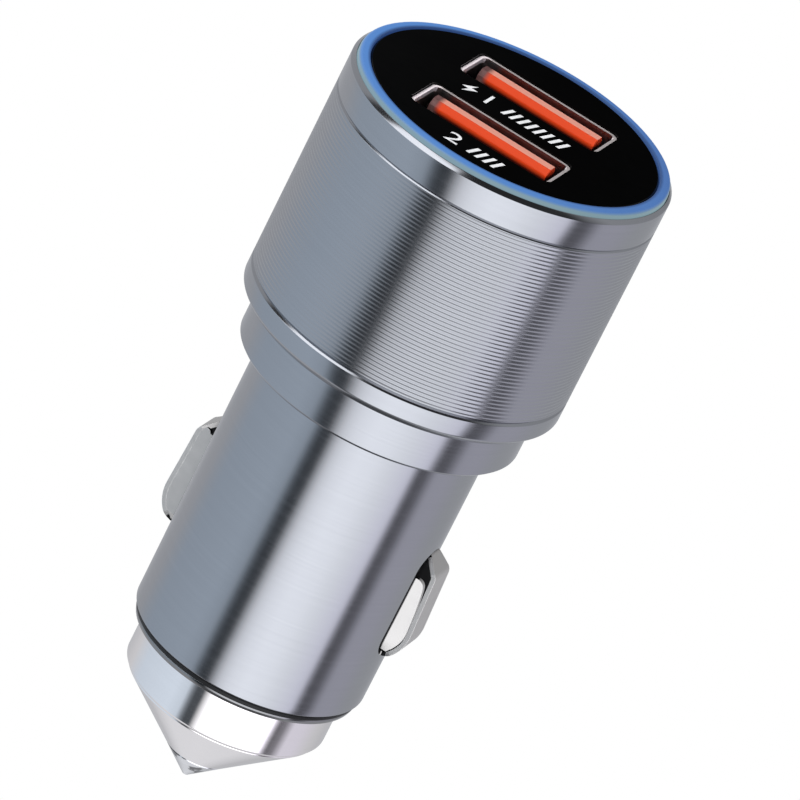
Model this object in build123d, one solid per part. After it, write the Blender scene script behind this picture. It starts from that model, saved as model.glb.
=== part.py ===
"""Car USB charger plug: turned metal body, two USB-A ports, sprung ground contacts, pointed nose.

The axis is Z, with the ports at the top. Z = 0 is the shoulder that stops on the socket's rim.
X runs through the two ground contacts and along the long side of the ports.
"""

import os
from math import hypot, radians, sqrt, tan

from build123d import *

# Driving dimensions in millimetres

# Body
head_d = 28.0
head_h = 22.45
neck_d = 24.7
neck_h = 4.05
barrel_d = 20.6
barrel_l = 25.75
barrel_wall = 1.0
barrel_draft = 0.05
neck_wall = 1.25
neck_floor_t = 1.4
board_ledge_w = 0.4
edge_break = 0.25
head_edge_break = 0.6
rim_bevel_w = 0.25
rim_bevel_h = 0.35
rim_lip_t = 0.1

# Turned rings and grooves on the head
upper_band_h = 3.4
lower_band_h = 2.32
groove_w = 0.32
groove_deep = 0.25
rib_pitch = 0.7
rib_deep = 0.15

# Face: light ring, panel and lamp board
face_t = 1.6
ring_w = 0.95
ring_proud = 0.5
ring_bevel = 0.3
ring_ledge_w = 0.65
ring_foot_w = 1.25
ring_foot_t = 0.8
fit_gap = 0.05
panel_edge = 0.15
panel_recess = 0.1
led_count = 6
led_l = 1.6
led_w = 0.8
led_h = 0.7
led_gap = 0.1
led_board_t = 0.6
led_board_w = 2.35
led_ledge_w = 0.6
port_clear = 0.3

# USB-A ports
port_pitch = 10.2
usb_w = 13.1
usb_h = 5.7
usb_wall = 0.3
usb_corner = 0.8
usb_depth = 15.0
usb_recess = 0.3
usb_leg_w = 1.6
usb_leg_out = 0.8
leg_hole_gap = 0.1
finger_w = 2.0
finger_l = 6.0
finger_cut = 0.3
finger_pitch = 6.6
finger_drop = 2.6
tongue_w = 11.1
tongue_t = 1.84
tongue_back_gap = 0.72
tongue_recess = 0.1
tongue_edge = 0.45
tongue_base_h = 4.0
terminal_w = 1.0
terminal_t = 0.25
terminal_sunk = 0.15
terminal_gap = 0.02
terminal_recess = 1.4
terminal_places = (-3.5, -1.0, 1.0, 3.5)

# Boards and what is on them
board_t = 1.0
board_gap = 0.2
capacitor_d = 6.3
input_capacitor_l = 11.0
output_capacitor_l = 9.0
can_groove_w = 0.8
can_groove_deep = 0.25
inductor_side = 7.0
inductor_t = 3.3
inductor_corner = 1.2
chip_l = 4.9
chip_w = 3.9
chip_t = 1.5
diode_l = 4.3
diode_w = 2.6
diode_t = 2.2
part_spacing = 0.8
strip_w = 3.0
strip_t = 0.3
strip_leg = 3.0
strip_foot = 3.3

# Insulating core
core_wall = 1.0
core_gap = 0.1
core_floor_t = 3.0
core_flange_t = 1.6
guide_deep = 1.2
guide_w = 0.8
guide_gap = 0.1
pocket_wall = 0.7
pocket_gap = 0.3

# Sprung ground contacts
contact_drop = 14.75
contact_l = 10.2
contact_w = 3.4
contact_rise = 1.7
contact_lean = 0.3
contact_ramp = 1.35
contact_lead = 3.2
contact_t = 0.4
bow_w = 3.0
contact_travel = 1.6
wing_t = 0.45
wing_lean = 15.0
wing_lean_deep = 0.35
wing_round = 1.2
wing_top_gap = 2.3
wing_bottom_gap = 0.9
foot_reach = 2.6
foot_gap = 0.12
slot_gap = 0.15
land_gap = 0.95
spring_t = 0.25
spring_l = 10.8
spring_gap = 0.05

# Nose
washer_d = 20.0
washer_t = 0.35
washer_bevel = 0.1
flange_d = 19.9
flange_t = 0.45
flange_land = 0.17
flange_draft = 0.1
nose_d = 17.8
nose_land_h = 4.0
nose_bevel = 0.6
nose_half_angle = 45.5
spigot_d = 9.0
spigot_out = 0.3
tip_d = 6.0
tip_flat_d = 0.5
tip_stem_d = 3.0
tip_stem_l = 4.0
tip_gap = 0.03

# Heights worked out from the shoulder
top_z = neck_h + head_h
rim_z = top_z - ring_proud
panel_top_z = top_z - panel_recess
ring_seat_z = top_z - face_t
ring_foot_z = ring_seat_z - ring_foot_t
led_board_top = ring_foot_z - led_gap - led_h
led_ledge_z = led_board_top - led_board_t
usb_top_z = top_z - usb_recess
port_board_top = usb_top_z - usb_depth
board_ledge_z = port_board_top - board_t
upper_groove_z = top_z - upper_band_h
lower_groove_z = neck_h + lower_band_h
contact_z = -contact_drop
seat_land = contact_drop - contact_l / 2 - slot_gap - land_gap
core_floor_z = -barrel_l + core_floor_t
washer_z = -barrel_l - washer_t
flange_z = washer_z - flange_t
nose_land_z = flange_z - nose_land_h
cone_top_z = nose_land_z - nose_bevel
slope = tan(radians(nose_half_angle))
tip_base_z = cone_top_z - (nose_d / 2 - nose_bevel - tip_d / 2) / slope
apex_z = tip_base_z - (tip_d - tip_flat_d) / 2 / slope
spigot_top_z = core_floor_z + spigot_out
main_board_bottom = spigot_top_z + spring_gap + strip_t

# Radii worked out from the axis
head_r = head_d / 2
barrel_r = barrel_d / 2
rim_r = head_r - rim_bevel_w
ring_seat_r = rim_r - rim_lip_t
ring_r = ring_seat_r - fit_gap
ring_hole_r = ring_r - ring_w
panel_r = ring_hole_r - fit_gap
upper_bore_r = ring_seat_r - ring_ledge_w
head_bore_r = upper_bore_r - led_ledge_w
neck_bore_r = min(neck_d / 2 - neck_wall, head_bore_r - board_ledge_w)
barrel_bore_r = barrel_r - barrel_wall
core_r = barrel_bore_r - core_gap
core_bore_r = core_r - core_wall
spigot_r = spigot_d / 2
led_board_r = upper_bore_r - fit_gap
lamp_hole_r = led_board_r - led_board_w
ports_reach = hypot(usb_w / 2, port_pitch / 2 + usb_h / 2)
ring_foot_r = max(ring_hole_r - ring_foot_w, ports_reach + port_clear)

# Places of the contacts' feet, pockets and springs, outwards along X
foot_out_x = sqrt(barrel_bore_r**2 - foot_reach**2) - foot_gap
foot_in_x = foot_out_x - contact_t
pocket_floor_x = foot_in_x - contact_travel - spring_t - 2 * spring_gap
pocket_half_w = foot_reach + pocket_gap
pocket_half_l = spring_l / 2 + pocket_gap
pocket_top_z = contact_z + pocket_half_l + pocket_wall
first_part_z = pocket_top_z - part_spacing


def turned(*corners):
    """A solid turned about Z from its half outline, given as (radius, height) corners."""
    return revolve(make_face(Plane.XZ * Polyline(*corners, close=True)), Axis.Z)


def block(low, high):
    """A box between two corners."""
    size = [b - a for a, b in zip(low, high)]
    return Pos(*low) * Box(*size, align=(Align.MIN, Align.MIN, Align.MIN))


def upright_slot(length, width, x_from, x_to):
    """A round-ended bar along X, upright in view, centred on the contacts."""
    outline = SlotOverall(length, width, rotation=90)
    return extrude(Plane.YZ.offset(x_from) * Pos(0, contact_z) * outline, x_to - x_from)


def both_sides(right):
    """A piece made on the +X side, and the same piece turned to the -X side."""
    return right, Rot(0, 0, 180) * right


def ring_grooves():
    """Outline corners of the head's side from its top groove to its bottom one."""

    def groove(z):
        half = groove_w / 2
        return [(head_r, z + half), (head_r - groove_deep, z), (head_r, z - half)]

    ribs_top = upper_groove_z - groove_w / 2
    ribs_h = ribs_top - (lower_groove_z + groove_w / 2)
    count = round(ribs_h / rib_pitch)
    step = ribs_h / count
    ribs = []
    for i in range(count):
        ribs.append((head_r - rib_deep, ribs_top - (i + 0.5) * step))
        ribs.append((head_r, ribs_top - (i + 1) * step))
    return groove(upper_groove_z) + ribs[:-1] + groove(lower_groove_z)


def body_shell():
    """Head, neck and barrel turned from one bar, bored in steps, with a slot for each contact."""
    end_r = barrel_r - barrel_draft
    head_edge = min(head_edge_break, (head_d - neck_d) / 4)
    outside = [
        (ring_seat_r, rim_z),
        (rim_r, rim_z),
        (head_r, rim_z - rim_bevel_h),
        *ring_grooves(),
        (head_r, neck_h + head_edge),
        (head_r - head_edge, neck_h),
        (neck_d / 2, neck_h),
        (neck_d / 2, edge_break),
        (neck_d / 2 - edge_break, 0),
        (barrel_r, 0),
        (barrel_r, -seat_land),
        (end_r, -barrel_l + edge_break),
        (end_r - edge_break, -barrel_l),
    ]
    inside = [
        (barrel_bore_r, -barrel_l),
        (barrel_bore_r, neck_floor_t),
        (neck_bore_r, neck_floor_t),
        (neck_bore_r, board_ledge_z),
        (head_bore_r, board_ledge_z),
        (head_bore_r, led_ledge_z),
        (upper_bore_r, led_ledge_z),
        (upper_bore_r, ring_seat_z),
        (ring_seat_r, ring_seat_z),
    ]
    slot = upright_slot(contact_l + 2 * slot_gap, contact_w + 2 * slot_gap, 0, barrel_d)
    return turned(*outside, *inside) - both_sides(slot)


def light_ring():
    """Translucent ring proud of the rim, on the body's ledge, with an inner foot that carries the panel."""
    foot_r = upper_bore_r - fit_gap
    return turned(
        (ring_hole_r, ring_seat_z),
        (ring_hole_r, top_z),
        (ring_r - ring_bevel, top_z),
        (ring_r, top_z - ring_bevel),
        (ring_r, ring_seat_z),
        (foot_r, ring_seat_z),
        (foot_r, ring_foot_z),
        (ring_foot_r, ring_foot_z),
        (ring_foot_r, ring_seat_z),
    )


def port_outline(grow):
    """A port shell's outline, made larger all round."""
    return RectangleRounded(usb_w + 2 * grow, usb_h + 2 * grow, usb_corner + grow)


def at_ports(piece):
    """The same piece at the rear port and at the front port."""
    return [Pos(0, y, 0) * piece for y in (port_pitch / 2, -port_pitch / 2)]


def face_panel():
    """Black face on the ring's foot, with a window round each port."""
    panel = turned(
        (0, ring_seat_z),
        (panel_r, ring_seat_z),
        (panel_r, panel_top_z - panel_edge),
        (panel_r - panel_edge, panel_top_z),
        (0, panel_top_z),
    )
    window = Pos(0, 0, ring_seat_z) * extrude(port_outline(fit_gap), face_t)
    return panel - at_ports(window)


def leg_pair(side_gap, bottom_z):
    """The two legs of a port shell, or with a side gap the holes for them."""
    x = (usb_w - usb_wall) / 2
    half_t = usb_wall / 2 + side_gap
    half_w = usb_leg_w / 2 + side_gap
    leg = block((x - half_t, -half_w, bottom_z), (x + half_t, half_w, port_board_top))
    return both_sides(leg)


def usb_shell():
    """Folded steel tube with two spring fingers in each long wall and two legs."""
    wall = extrude(port_outline(0) - port_outline(-usb_wall), usb_depth)
    shell = Pos(0, 0, port_board_top) * wall
    root_z = usb_top_z - finger_drop
    window = block(
        (-finger_w / 2 - finger_cut, -usb_h, root_z - finger_l - finger_cut),
        (finger_w / 2 + finger_cut, usb_h, root_z),
    )
    finger = block((-finger_w / 2, -usb_h, root_z - finger_l), (finger_w / 2, usb_h, root_z))
    for x in (-finger_pitch / 2, finger_pitch / 2):
        shell -= Pos(x, 0, 0) * (window - finger)
    return shell + leg_pair(0, port_board_top - board_t - usb_leg_out)


# The tongue's contact side, measured from the port's centre
tongue_back_y = usb_h / 2 - usb_wall - tongue_back_gap
tongue_front_y = tongue_back_y - tongue_t


def terminal_bars(grow):
    """Four upright strips let into the contact side of a tongue, or with a growth their grooves."""
    y_in = tongue_front_y + terminal_sunk
    low_z = port_board_top + spring_gap - grow
    high_z = usb_top_z - tongue_recess - terminal_recess + grow
    half = terminal_w / 2 + grow
    bars = []
    for x in terminal_places:
        bars.append(block((x - half, y_in - terminal_t - grow, low_z), (x + half, y_in + grow, high_z)))
    return bars


def usb_tongue():
    """Moulded tongue on a base that fills the bottom of the shell."""
    half_w = usb_w / 2 - usb_wall - fit_gap
    half_h = usb_h / 2 - usb_wall - fit_gap
    base_top = port_board_top + tongue_base_h
    base = block((-half_w, -half_h, port_board_top), (half_w, half_h, base_top))
    base = chamfer(base.edges().filter_by(Axis.Z), usb_corner - usb_wall)
    end_z = usb_top_z - tongue_recess
    tongue = block((-tongue_w / 2, tongue_front_y, port_board_top), (tongue_w / 2, tongue_back_y, end_z))
    tongue = chamfer(tongue.faces().sort_by(Axis.Z)[-1].edges().filter_by(Axis.X), tongue_edge)
    return base + tongue - terminal_bars(terminal_gap)


def led_board():
    """Ring-shaped lamp board on the body's second ledge, cut clear of the ports."""
    board = turned(
        (lamp_hole_r, led_ledge_z),
        (led_board_r, led_ledge_z),
        (led_board_r, led_board_top),
        (lamp_hole_r, led_board_top),
    )
    window = Pos(0, 0, led_ledge_z) * extrude(port_outline(port_clear), led_board_t)
    return board - at_ports(window)


def ring_leds():
    """Small lamps spaced evenly under the light ring."""
    middle_r = (lamp_hole_r + led_board_r) / 2
    lamp = Box(led_w, led_l, led_h, align=(Align.CENTER, Align.CENTER, Align.MIN))
    places = Pos(0, 0, led_board_top) * PolarLocations(middle_r, led_count)
    return Compound([place * lamp for place in places])


def port_board():
    """Round board on the body's lowest ledge, with holes for the shells' legs."""
    board = Pos(0, 0, board_ledge_z) * Cylinder(
        head_bore_r - board_gap, board_t, align=(Align.CENTER, Align.CENTER, Align.MIN)
    )
    holes = leg_pair(leg_hole_gap, board_ledge_z)
    return board - at_ports(holes[0]) - at_ports(holes[1])


board_half_w = core_bore_r - guide_gap
board_face_x = board_t / 2


def main_board():
    """Upright board between the core's guides, up to the port board."""
    return block(
        (-board_face_x, -board_half_w, main_board_bottom),
        (board_face_x, board_half_w, board_ledge_z - fit_gap),
    )


def capacitor(length, side):
    """Upright can with a rolled groove near its foot, lying against one side of the main board."""
    r = capacitor_d / 2
    foot = pocket_top_z + part_spacing
    top = foot + length
    groove_z = foot + 2 * can_groove_w
    can = turned(
        (0, foot),
        (r, foot),
        (r, groove_z - can_groove_w / 2),
        (r - can_groove_deep, groove_z),
        (r, groove_z + can_groove_w / 2),
        (r, top),
        (0, top),
    )
    return Pos(side * (board_face_x + fit_gap + r), 0, 0) * can


def on_board(side, thickness, width, top, length):
    """A flat part on one side of the main board."""
    near, far = sorted((side * board_face_x, side * (board_face_x + thickness)))
    return block((near, -width / 2, top - length), (far, width / 2, top))


def inductor():
    """Shielded choke with cut corners on the +X side."""
    choke = on_board(1, inductor_t, inductor_side, first_part_z, inductor_side)
    return chamfer(choke.edges().filter_by(Axis.X), inductor_corner)


def converter_chip():
    """Flat switching chip on the -X side."""
    return on_board(-1, chip_t, chip_w, first_part_z, chip_l)


def rectifier_diode():
    """Flat diode below the chip."""
    return on_board(-1, diode_t, diode_w, first_part_z - chip_l - part_spacing, diode_l)


def positive_strip():
    """Bent strip from the main board's side to the nose's spigot."""
    half = strip_w / 2
    foot_z = spigot_top_z + spring_gap
    foot = block((-board_face_x, -half, foot_z), (board_face_x + strip_foot, half, foot_z + strip_t))
    leg = block((board_face_x, -half, foot_z), (board_face_x + strip_t, half, foot_z + strip_t + strip_leg))
    return foot + leg


def inner_core():
    """Moulded holder: tube with a flange on the neck's floor, board guides and two contact pockets."""
    flange_r = neck_bore_r - core_gap
    flange_top = neck_floor_t + core_flange_t
    hole_r = spigot_r + fit_gap
    core = turned(
        (hole_r, -barrel_l),
        (core_r, -barrel_l),
        (core_r, neck_floor_t),
        (flange_r, neck_floor_t),
        (flange_r, flange_top),
        (core_bore_r, flange_top),
        (core_bore_r, core_floor_z),
        (hole_r, core_floor_z),
    )
    middle_r = (core_r + core_bore_r) / 2
    guide_x = board_face_x + guide_gap
    guide = block(
        (guide_x, core_bore_r - guide_deep, core_floor_z),
        (guide_x + guide_w, sqrt(middle_r**2 - guide_x**2), flange_top),
    )
    for turn in (guide, mirror(guide, Plane.YZ)):
        core += both_sides(turn)
    box_half_w = pocket_half_w + pocket_wall
    box_half_l = pocket_half_l + pocket_wall
    box = block(
        (pocket_floor_x - pocket_wall, -box_half_w, contact_z - box_half_l),
        (sqrt(middle_r**2 - box_half_w**2), box_half_w, contact_z + box_half_l),
    )
    hollow = block(
        (pocket_floor_x, -pocket_half_w, contact_z - pocket_half_l),
        (barrel_r, pocket_half_w, contact_z + pocket_half_l),
    )
    return core + both_sides(box) - both_sides(hollow)


def ground_contact():
    """Stamped contact: bowed strip over two leaning wings, with feet that catch behind the barrel's wall."""
    crest_r = barrel_r + contact_rise
    top = contact_z + contact_l / 2
    bottom = contact_z - contact_l / 2
    back_x = foot_in_x - contact_t
    lead_start = (crest_r, bottom + contact_lead)
    ramp_end = (crest_r - contact_lean, top - contact_ramp)
    sides = Polyline(
        (barrel_r, bottom),
        (back_x, bottom),
        (back_x, top),
        (barrel_r, top),
        ramp_end,
        lead_start,
    )
    crest = Vector(lead_start[0] - ramp_end[0], lead_start[1] - ramp_end[1])
    lead_in = TangentArc(lead_start, (barrel_r, bottom), tangent=crest)
    solid_bow = make_face([*sides.edges(), lead_in])
    under = offset(solid_bow, -contact_t, kind=Kind.INTERSECTION)
    half_w = contact_w / 2
    strip = extrude(Plane.XZ * (solid_bow - under), bow_w / 2, both=True)
    plan = upright_slot(contact_l, contact_w, foot_in_x, crest_r + contact_t)
    wing_top = top - wing_top_gap
    wing_bottom = bottom + wing_bottom_gap
    wing_h = wing_top - wing_bottom
    wing_reach = crest_r - contact_t - foot_in_x
    outline = Pos(foot_in_x, wing_bottom) * Rectangle(wing_reach, wing_h, align=(Align.MIN, Align.MIN))
    outline = fillet(outline.vertices().group_by(Axis.Y)[-1].sort_by(Axis.X)[-1], wing_round)
    lean_x = barrel_r - wing_lean_deep
    lean_in = (crest_r - lean_x) * tan(radians(wing_lean))
    section = Polyline(
        (foot_in_x, half_w),
        (lean_x, half_w),
        (crest_r, half_w - lean_in),
        (crest_r, half_w - lean_in - wing_t),
        (lean_x, half_w - wing_t),
        (foot_in_x, half_w - wing_t),
        close=True,
    )
    folded = Pos(0, 0, wing_bottom) * extrude(make_face(section), wing_h)
    wing = extrude(Plane.XZ * (outline & under), half_w, both=True) & folded & plan
    foot = block((foot_in_x, half_w - wing_t, bottom + half_w), (foot_out_x, foot_reach, wing_top))
    flap = wing + foot
    return (strip & plan) + flap + mirror(flap, Plane.XZ)


def contact_spring():
    """Bowed leaf between the pocket's floor and the contact's feet."""
    low = pocket_floor_x + spring_gap
    crest = foot_in_x - spring_gap
    half = spring_l / 2
    outer = ThreePointArc((low + spring_t, half), (crest, 0), (low + spring_t, -half))
    inner = ThreePointArc((low, half), (crest - spring_t, 0), (low, -half))
    ends = [Line(outer @ 0, inner @ 0), Line(outer @ 1, inner @ 1)]
    leaf = make_face([outer, inner, *ends])
    return extrude(Plane.XZ * Pos(0, contact_z) * leaf, foot_reach - spring_gap, both=True)


def insulating_washer():
    """Black washer with a bevelled rim between the barrel and the nose."""
    r = washer_d / 2
    hole_r = spigot_r + fit_gap
    return turned(
        (hole_r, washer_z),
        (r - washer_bevel, washer_z),
        (r, washer_z + washer_bevel),
        (r, -barrel_l - washer_bevel),
        (r - washer_bevel, -barrel_l),
        (hole_r, -barrel_l),
    )


def nose_cap():
    """Positive terminal: spigot, thin flange, land, bevel and cone, bored for the tip's stem."""
    nose_r = nose_d / 2
    flange_r = flange_d / 2
    bore_r = tip_stem_d / 2 + tip_gap
    bore_top = tip_base_z + tip_stem_l + tip_gap
    return turned(
        (bore_r, tip_base_z),
        (tip_d / 2, tip_base_z),
        (nose_r - nose_bevel, cone_top_z),
        (nose_r, nose_land_z),
        (nose_r, flange_z),
        (flange_r - flange_draft, flange_z),
        (flange_r, washer_z - flange_land),
        (flange_r, washer_z),
        (spigot_r, washer_z),
        (spigot_r, spigot_top_z),
        (0, spigot_top_z),
        (0, bore_top),
        (bore_r, bore_top),
    )


def strike_tip():
    """Hard pointed bit with a stem in the nose."""
    return turned(
        (0, apex_z),
        (tip_flat_d / 2, apex_z),
        (tip_d / 2, tip_base_z),
        (tip_stem_d / 2, tip_base_z),
        (tip_stem_d / 2, tip_base_z + tip_stem_l),
        (0, tip_base_z + tip_stem_l),
    )


nodes = {
    "body_shell": body_shell(),
    "light_ring": light_ring(),
    "face_panel": face_panel(),
    "led_board": led_board(),
    "ring_leds": ring_leds(),
    "port_board": port_board(),
    "main_board": main_board(),
    "input_capacitor": capacitor(input_capacitor_l, -1),
    "output_capacitor": capacitor(output_capacitor_l, 1),
    "inductor": inductor(),
    "converter_chip": converter_chip(),
    "rectifier_diode": rectifier_diode(),
    "positive_strip": positive_strip(),
    "inner_core": inner_core(),
    "insulating_washer": insulating_washer(),
    "nose_cap": nose_cap(),
    "strike_tip": strike_tip(),
}
for name, place in (("rear", 0), ("front", 1)):
    nodes[f"usb_shell_{name}"] = at_ports(usb_shell())[place]
    nodes[f"usb_tongue_{name}"] = at_ports(usb_tongue())[place]
    nodes[f"usb_terminals_{name}"] = at_ports(Compound(terminal_bars(0)))[place]
for side, contact, spring in zip(
    ("right", "left"), both_sides(ground_contact()), both_sides(contact_spring())
):
    nodes[f"ground_contact_{side}"] = contact
    nodes[f"contact_spring_{side}"] = spring

os.makedirs("parts", exist_ok=True)
for name, shape in nodes.items():
    export_step(shape, f"parts/{name}.step")
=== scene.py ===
"""Looks of the car USB charger plug: turned shell, lit ring, ports, sprung contacts and bright nose.

Sizes are in millimetres, and put_mesh turns them into metres. The axis is Z, with the ports at the top.
"""

from math import cos, pi, radians, sin, tan

import bmesh
import bpy
import numpy as np
from mathutils import Matrix, Vector


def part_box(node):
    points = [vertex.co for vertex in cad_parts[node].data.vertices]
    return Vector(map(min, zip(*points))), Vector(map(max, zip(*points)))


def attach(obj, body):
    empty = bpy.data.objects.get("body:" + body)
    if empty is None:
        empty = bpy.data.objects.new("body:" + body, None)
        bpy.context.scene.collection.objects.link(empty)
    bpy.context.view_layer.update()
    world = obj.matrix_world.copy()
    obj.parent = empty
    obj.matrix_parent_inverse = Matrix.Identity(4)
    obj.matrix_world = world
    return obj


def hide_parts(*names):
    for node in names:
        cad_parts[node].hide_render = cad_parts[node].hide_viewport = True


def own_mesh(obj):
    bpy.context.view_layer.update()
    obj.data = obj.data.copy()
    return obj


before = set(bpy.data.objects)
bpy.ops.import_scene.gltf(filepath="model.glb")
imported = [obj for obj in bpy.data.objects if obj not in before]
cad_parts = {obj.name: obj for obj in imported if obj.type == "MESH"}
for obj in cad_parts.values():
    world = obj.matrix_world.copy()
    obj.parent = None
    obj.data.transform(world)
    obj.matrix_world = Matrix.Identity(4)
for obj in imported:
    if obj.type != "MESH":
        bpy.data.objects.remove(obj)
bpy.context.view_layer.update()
scene = bpy.context.scene

MM = 0.001


def box_mm(name):
    """Lowest and highest corner of a node in millimetres."""
    low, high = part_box(name)
    return np.array(low) / MM, np.array(high) / MM


# Sizes read from the frame
body_low, body_high = box_mm("body_shell")
ring_high = box_mm("light_ring")[1]
panel_low, panel_high = box_mm("face_panel")
washer_low, washer_high = box_mm("insulating_washer")
nose_low, nose_high = box_mm("nose_cap")
tip_low, tip_high = box_mm("strike_tip")
contact_low, contact_high = box_mm("ground_contact_right")
spring_low, spring_high = box_mm("contact_spring_right")
port_high = box_mm("usb_shell_rear")[1]
tongue_low, tongue_high = box_mm("usb_tongue_rear")
head_r = body_high[0]
rim_z = body_high[2]
barrel_end_z = body_low[2]
ring_r = ring_high[0]
top_z = ring_high[2]
panel_top_z = panel_high[2]
ring_seat_z = panel_low[2]

# Points closer than this are one, and an edge that turns more than this many degrees is sharp
weld_gap = 0.001
sharp_turn = 38
contact_sharp_turn = 20

# Turned shell
columns = 224
rim_bevel_w = 0.31
rim_bevel_h = 0.33
rim_lip_t = 0.04
upper_groove_z = 23.1
lower_groove_z = 6.37
upper_groove_w = 0.26
lower_groove_w = 0.4
upper_groove_deep = 0.21
upper_groove_root = 0.07
lower_groove_deep = 0.35
lower_groove_root = 0.13
groove_lip = 0.1
rib_pitch = 0.35
rib_deep = 0.05
rib_places = np.array((0.0, 0.08, 0.42, 0.5, 0.58, 0.92))
neck_z = 4.05
head_edge = 0.6
neck_r = 12.35
barrel_r = 10.3
barrel_bore_r = 9.3
barrel_draft = 0.05
seat_land_z = -8.55
edge_break = 0.25
soft_edge = 0.07
bore_steps = ((9.3, 1.4), (11.1, 1.4), (11.1, 10.2), (12.4, 10.2), (12.4, 22.7), (13.0, 22.7))

# Contact slots
contact_z = (contact_low[2] + contact_high[2]) / 2
contact_top_z = contact_high[2]
contact_bottom_z = contact_low[2]
contact_half_w = 1.7
slot_half_w = 1.85
slot_round = 0.06
slot_skin_shares = (0, 0.4, 0.8, 0.97)
slot_round_turns = (0, 30, 60, 90)
slot_bore_shares = (0, 0.5, 1)
slot_straight = (contact_top_z - contact_bottom_z) / 2 - contact_half_w
patch_half_h = 6.1
patch_rows = 31
patch_columns = 11

# Sprung contacts
crest_x = contact_high[0]
foot_in_x = contact_low[0]
sheet_t = 0.4
sheet_round = 0.03
bow_half_w = 1.5
end_half_w = 0.3**0.5
ramp_h = 1.35
ramp_foot_round = 0.5
crest_lean = 0.3
crest_round = 0.9
crest_points = 8
lead_h = 3.2
lead_points = 14
wing_t = 0.45
wing_inset = 0.01
wing_rows = 14
wing_columns = 9
wing_round_turns = np.linspace(10, 90, 9)
short_wing_z = (contact_bottom_z + 0.9, contact_top_z - 2.2)
long_wing_z = (contact_bottom_z + 0.35, contact_top_z - 0.9)
rib_z = (contact_bottom_z, contact_top_z - 0.8)
short_wing_round = 0.8
long_wing_round = 0.4
short_wing_gaps = (0.09, 0.3)
long_wing_gaps = (-0.3, 0.0)
wing_root_x = 9.5
wing_lean = tan(radians(15))
wing_lean_x = barrel_r - 0.35
foot_reach = contact_high[1]
spring_t = 0.25
spring_points = 25

# Face
ring_w = 0.95
ring_hole_r = ring_r - ring_w
ring_round = 0.32
ring_inner_round = 0.06
ring_foot_r = 11.4
ring_foot_t = 0.8
ring_foot_out_r = 12.95

# Nose
washer_r = washer_high[0]
washer_gap = 0.05
spigot_r = 4.5
spigot_edge = 0.2
flange_r = nose_high[0]
flange_t = 0.45
flange_top_z = washer_low[2]
flange_z = flange_top_z - flange_t
flange_land = 0.17
flange_draft = 0.1
nose_r = 8.9
nose_land_z = -30.55
nose_bevel = 0.3
nose_line = 0.12
nose_edge = 0.06
tip_r = tip_high[0]
tip_base_z = nose_low[2]
tip_stem_r = 1.5
tip_flat_r = 0.25
tip_round = 0.12
tip_undercut = 0.18
tip_apex_z = tip_low[2]
stem_gap = 0.03


def unit(vector):
    """A vector of length one."""
    return vector / np.linalg.norm(vector)


def rounded(corners, steps=4):
    """Outline through (radius, height, rounding) corners, each rounding an arc that meets both runs."""
    runs = []
    for i, (r, z, rounding) in enumerate(corners):
        here = np.array((r, z))
        if not rounding:
            runs.append(here[None])
            continue
        to_last = unit(np.array(corners[i - 1][:2]) - here)
        to_next = unit(np.array(corners[i + 1][:2]) - here)
        half = np.arccos(to_last @ to_next) / 2
        centre = here + unit(to_last + to_next) * rounding / sin(half)
        first = here + to_last * rounding / tan(half) - centre
        last = here + to_next * rounding / tan(half) - centre
        turn = pi - 2 * half
        share = np.linspace(0, 1, steps + 1)[:, None]
        arc = np.sin((1 - share) * turn) * first + np.sin(share * turn) * last
        runs.append(centre + arc / sin(turn))
    return np.vstack(runs)


def lathe(outline, count):
    """An outline carried round Z: x = radius cos(angle), y = radius sin(angle), z = height."""
    angle = np.arange(count) * 2 * pi / count
    r, z = outline[:, :1], outline[:, 1:]
    return np.stack(np.broadcast_arrays(r * np.cos(angle), r * np.sin(angle), z), axis=-1)


def grid_faces(rows, cols, rows_meet):
    """Quads between neighbours of a grid whose columns meet, and whose rows meet too where asked."""
    i = np.arange(rows if rows_meet else rows - 1)[:, None]
    j = np.arange(cols)[None, :]
    below, beside = (i + 1) % rows, (j + 1) % cols
    return np.stack((i * cols + j, i * cols + beside, below * cols + beside, below * cols + j), axis=-1)


def loft(rings):
    """A closed skin over rings of points, with each end drawn in to its middle."""
    first, last = rings[:1], rings[-1:]
    caps = [np.broadcast_to(end.mean(axis=1, keepdims=True), end.shape) for end in (first, last)]
    skin = np.concatenate((caps[0], rings, caps[1]))
    return skin, grid_faces(len(skin), skin.shape[1], False)


def put_mesh(name, parts, finish, body, stands_for=(), sharp=sharp_turn):
    """One piece from parts of points and faces: welded, faces outwards, sharp only past an angle."""
    points = [p.reshape(-1, 3) for p, _ in parts]
    starts = np.cumsum([0] + [len(p) for p in points])
    faces = []
    for (_, quads), start in zip(parts, starts):
        faces += (quads.reshape(-1, quads.shape[-1]) + start).tolist()
    mesh = bpy.data.meshes.new(name)
    mesh.from_pydata((np.concatenate(points) * MM).tolist(), [], faces)
    work = bmesh.new()
    work.from_mesh(mesh)
    bmesh.ops.remove_doubles(work, verts=work.verts, dist=weld_gap * MM)
    bmesh.ops.dissolve_degenerate(work, edges=work.edges, dist=weld_gap * MM)
    bmesh.ops.recalc_face_normals(work, faces=work.faces)
    work.to_mesh(mesh)
    work.free()
    mesh.shade_smooth()
    mesh.set_sharp_from_angle(angle=radians(sharp))
    mesh.materials.append(finish)
    piece = bpy.data.objects.new(name, mesh)
    scene.collection.objects.link(piece)
    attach(piece, body)
    if stands_for:
        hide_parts(*stands_for)
    return piece


def half_turn(points):
    """The same points on the other side of the axis."""
    return points * np.array((-1, -1, 1))


# Turned shell

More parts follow.
